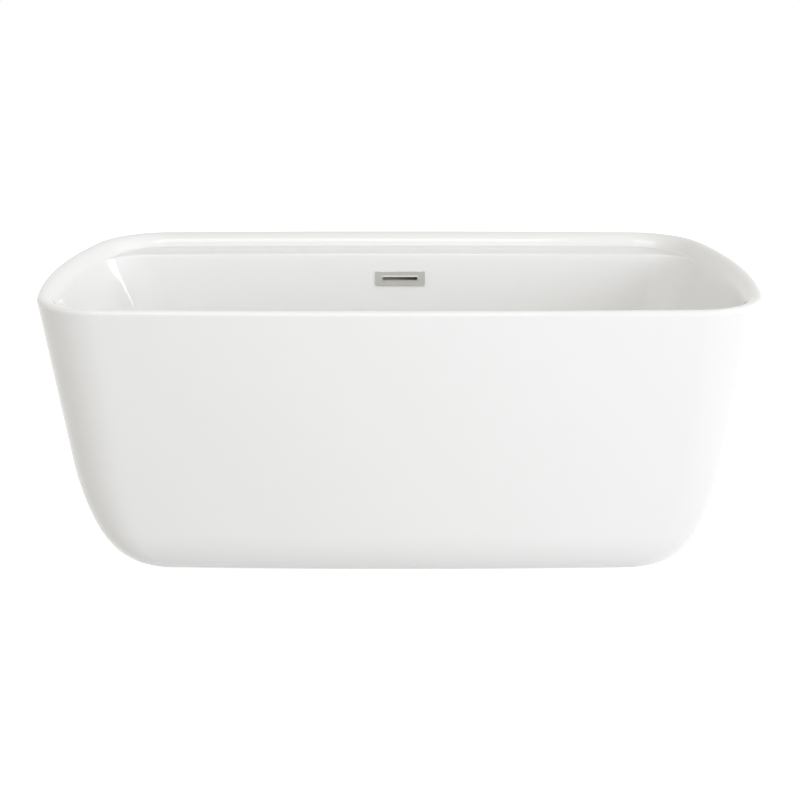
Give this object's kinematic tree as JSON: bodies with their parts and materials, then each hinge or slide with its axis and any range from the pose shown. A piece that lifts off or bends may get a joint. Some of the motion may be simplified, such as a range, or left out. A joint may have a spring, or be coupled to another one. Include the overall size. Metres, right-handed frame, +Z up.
{
  "type": "freestanding bathtub",
  "caption": "White freestanding tub with bowed ends, a ledge along its back wall, a slotted overflow, a click-clack waste and levelling feet on a steel frame.",
  "frame": {"origin": "on the floor, under the middle of the tub's outline", "axes": "+X along the tub to its right-hand end, +Y across it towards the ledge and the overflow, +Z up"},
  "size_m": [1.5, 0.75, 0.58],
  "materials": {
    "sanitary_acrylic": "smooth high-gloss white acrylic",
    "fibre_laminate": "rough glass-fibre laminate",
    "board": "bare chipboard",
    "galvanised_steel": "dull zinc over square tube and strip",
    "zinc_plated_steel": "bright zinc plate",
    "pad_plastic": "black moulded plastic",
    "seal_rubber": "matt black rubber",
    "plated_brass": "brushed nickel over brass",
    "brushed_nickel": "fine brushed nickel plate",
    "hose_plastic": "grey flexible hose",
    "fitting_plastic": "white moulded plastic"
  },
  "bodies": {
    "tub": {"basin": "sanitary_acrylic", "skirt": "sanitary_acrylic", "rim_bond": "fibre_laminate", "base_board": "board", "frame_rail_front": "galvanised_steel", "frame_rail_back": "galvanised_steel", "cross_rail_left": "galvanised_steel", "cross_rail_right": "galvanised_steel", "mid_rail_left": "galvanised_steel", "mid_rail_right": "galvanised_steel", "board_screws": "zinc_plated_steel", "skirt_brackets": "galvanised_steel", "bracket_bolts": "zinc_plated_steel", "flange_screws": "zinc_plated_steel", "weld_nuts": "galvanised_steel", "jam_nuts": "zinc_plated_steel", "drain_flange": "plated_brass", "drain_seal": "seal_rubber", "drain_washer": "seal_rubber", "drain_locknut": "fitting_plastic", "drain_shoe": "fitting_plastic", "tailpiece": "plated_brass", "tailpiece_washer": "seal_rubber", "slip_nut": "fitting_plastic", "stopper_cartridge": "plated_brass", "stopper_spring": "zinc_plated_steel", "overflow_plate": "brushed_nickel", "overflow_retainer": "fitting_plastic", "overflow_front_gasket": "seal_rubber", "overflow_elbow": "fitting_plastic", "overflow_rear_gasket": "seal_rubber", "overflow_screws": "zinc_plated_steel", "overflow_hose": "hose_plastic", "hose_clamps": "zinc_plated_steel"},
    "foot_1": {"foot_stud_1": "zinc_plated_steel", "foot_pad_1": "pad_plastic"},
    "foot_2": {"foot_stud_2": "zinc_plated_steel", "foot_pad_2": "pad_plastic"},
    "foot_3": {"foot_stud_3": "zinc_plated_steel", "foot_pad_3": "pad_plastic"},
    "foot_4": {"foot_stud_4": "zinc_plated_steel", "foot_pad_4": "pad_plastic"},
    "foot_5": {"foot_stud_5": "zinc_plated_steel", "foot_pad_5": "pad_plastic"},
    "foot_6": {"foot_stud_6": "zinc_plated_steel", "foot_pad_6": "pad_plastic"},
    "stopper": {"stopper_stem": "plated_brass", "stopper_cap": "plated_brass", "stopper_seal": "seal_rubber"}
  },
  "joints": [
    {"name": "foot_1_height", "type": "slide", "parent": "tub", "child": "foot_1", "axis": [0, 0, 1], "range_m": [-0.02, 0.006]},
    {"name": "foot_2_height", "type": "slide", "parent": "tub", "child": "foot_2", "axis": [0, 0, 1], "range_m": [-0.02, 0.006]},
    {"name": "foot_3_height", "type": "slide", "parent": "tub", "child": "foot_3", "axis": [0, 0, 1], "range_m": [-0.02, 0.006]},
    {"name": "foot_4_height", "type": "slide", "parent": "tub", "child": "foot_4", "axis": [0, 0, 1], "range_m": [-0.02, 0.006]},
    {"name": "foot_5_height", "type": "slide", "parent": "tub", "child": "foot_5", "axis": [0, 0, 1], "range_m": [-0.02, 0.006]},
    {"name": "foot_6_height", "type": "slide", "parent": "tub", "child": "foot_6", "axis": [0, 0, 1], "range_m": [-0.02, 0.006]},
    {"name": "stopper_lift", "type": "slide", "parent": "tub", "child": "stopper", "axis": [0, 0, 1], "range_m": [0, 0.009], "deforming": ["stopper_spring"]}
  ]
}
